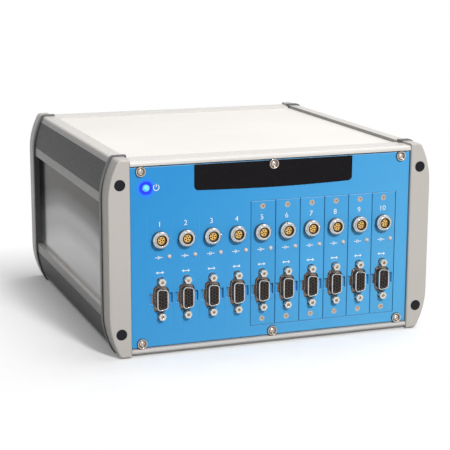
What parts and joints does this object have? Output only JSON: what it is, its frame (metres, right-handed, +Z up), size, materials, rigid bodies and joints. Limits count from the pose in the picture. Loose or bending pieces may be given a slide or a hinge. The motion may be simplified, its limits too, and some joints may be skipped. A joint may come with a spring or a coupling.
{
  "type": "potentiostat",
  "caption": "Bench-top multichannel potentiostat: bowed metal case with blue front panel, round push-pull sockets, D-shaped data connectors, lamps, rear mains inlet and rocker switch",
  "frame": {"origin": "under the middle of the case, on the surface that it stands on", "axes": "+Z up, front panel faces -Y, +X to the right as seen from the front"},
  "size_m": [0.2472, 0.2564, 0.1416],
  "materials": {
    "frame_paint": "light warm grey satin paint on cast metal",
    "seal": "dark grey moulded seal",
    "profile_metal": "satin anodised extrusion",
    "dark_trim": "dark grey satin strip",
    "side_sheet": "satin anodised sheet",
    "cover_paint": "light grey satin paint",
    "rail_metal": "light grey satin paint on extrusion",
    "panel_blue": "bright blue smooth paint",
    "panel_rear": "light grey smooth paint",
    "cap_black": "black moulded cap",
    "bright_steel": "bright plated steel",
    "plated_brass": "satin chrome plated brass",
    "insert_dark": "black moulded insulator",
    "insert_gold": "moulded insert with gold-plated contacts",
    "lamp": "clear tinted lamp lens",
    "board": "glass-fibre circuit board",
    "supply_sheet": "folded plated sheet",
    "inlet_black": "black moulded housing",
    "blade_metal": "nickel plated blade",
    "earth_metal": "plated socket sleeve"
  },
  "bodies": {
    "case": {"aux_inserts": "insert_dark", "aux_jack_posts": "bright_steel", "aux_shells": "bright_steel", "backplane": "board", "bottom_cover": "cover_paint", "cell_lamps": "lamp", "channel_boards": "board", "earth_nut": "plated_brass", "earth_socket": "earth_metal", "frame_screw_caps": "cap_black", "frame_screws": "bright_steel", "front_frame_left": "frame_paint", "front_frame_right": "frame_paint", "front_panel": "panel_blue", "front_rail_lower": "rail_metal", "front_rail_upper": "rail_metal", "front_seal_left": "seal", "front_seal_right": "seal", "interface_board": "board", "lower_profile_left": "profile_metal", "lower_profile_right": "profile_metal", "lower_trim_left": "dark_trim", "lower_trim_right": "dark_trim", "mains_inlet": "inlet_black", "mains_inlet_blades": "blade_metal", "module_plate_05": "panel_blue", "module_plate_06": "panel_blue", "module_plate_07": "panel_blue", "module_plate_08": "panel_blue", "module_plate_09": "panel_blue", "module_plate_10": "panel_blue", "module_plate_screws": "bright_steel", "module_rail_lower": "rail_metal", "module_rail_upper": "rail_metal", "panel_collars": "bright_steel", "panel_screws": "bright_steel", "power_lamp": "lamp", "power_supply": "supply_sheet", "rear_frame_left": "frame_paint", "rear_frame_right": "frame_paint", "rear_panel": "panel_rear", "rear_rail_lower": "rail_metal", "rear_rail_upper": "rail_metal", "rear_seal_left": "seal", "rear_seal_right": "seal", "side_panel_left": "side_sheet", "side_panel_right": "side_sheet", "socket_bodies": "plated_brass", "socket_inserts": "insert_gold", "socket_nuts": "plated_brass", "switch_housing": "inlet_black", "top_cover": "cover_paint", "upper_profile_left": "profile_metal", "upper_profile_right": "profile_metal", "upper_trim_left": "dark_trim", "upper_trim_right": "dark_trim", "usb_core": "insert_dark", "usb_shell": "bright_steel"},
    "rocker": {"switch_rocker": "inlet_black"}
  },
  "joints": [
    {"name": "rocker_tip", "type": "hinge", "parent": "case", "child": "rocker", "pos_m": [0.07, 0.122, 0.0788], "axis": [1, 0, 0], "range_deg": [-16, 0]}
  ]
}
